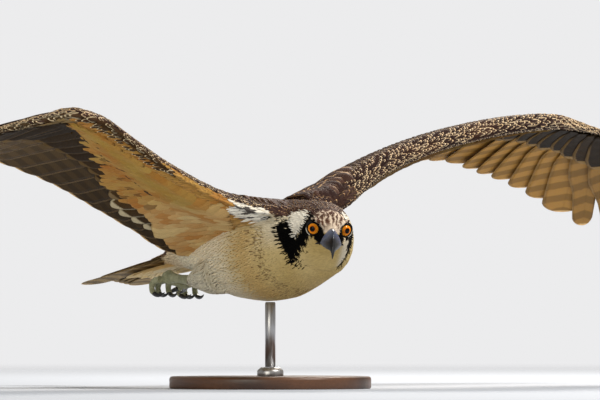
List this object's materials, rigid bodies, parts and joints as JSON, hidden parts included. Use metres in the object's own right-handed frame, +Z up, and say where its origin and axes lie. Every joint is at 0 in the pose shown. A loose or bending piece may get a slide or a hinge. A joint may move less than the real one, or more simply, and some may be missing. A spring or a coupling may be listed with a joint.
{
  "type": "osprey model",
  "caption": "Life-size still model of a gliding young osprey with spread wings and turned head, held on a round base by a short rod.",
  "frame": {"origin": "middle of the display base's flat underside, on the surface that the model stands on", "axes": "+Z up; the bird's tail points to +Y and it flies along -Y; its left wing reaches to +X and its right wing to -X"},
  "size_m": [1.3437, 0.5287, 0.3213],
  "materials": {
    "brown_feathers": "matt dark brown feathers with pale buff edges",
    "cream_feathers": "soft cream and ochre body feathers",
    "white_feathers": "soft white feathers with dark streaks and a black eye stripe",
    "bill": "blue-grey horn, black at the tip, satin",
    "eye": "amber iris and black pupil, wet gloss",
    "foot_skin": "grey-green scaly skin",
    "claw": "black horn, satin",
    "stand_wood": "oiled dark wood",
    "stand_steel": "brushed steel"
  },
  "bodies": {
    "root": {"bill_lower": "bill", "bill_upper": "bill", "claw_left_hind": "claw", "claw_left_inner": "claw", "claw_left_middle": "claw", "claw_left_outer": "claw", "claw_right_hind": "claw", "claw_right_inner": "claw", "claw_right_middle": "claw", "claw_right_outer": "claw", "eye_left": "eye", "eye_right": "eye", "foot_left": "foot_skin", "foot_right": "foot_skin", "head": "white_feathers", "neck": "white_feathers", "stand_base": "stand_wood", "stand_collar": "stand_steel", "stand_rod": "stand_steel", "tail": "brown_feathers", "tarsus_left": "foot_skin", "tarsus_right": "foot_skin", "thigh_left": "white_feathers", "thigh_right": "white_feathers", "torso": "cream_feathers", "wing_arm_left": "brown_feathers", "wing_arm_right": "brown_feathers", "wing_hand_left": "brown_feathers", "wing_hand_right": "brown_feathers"}
  },
  "joints": []
}
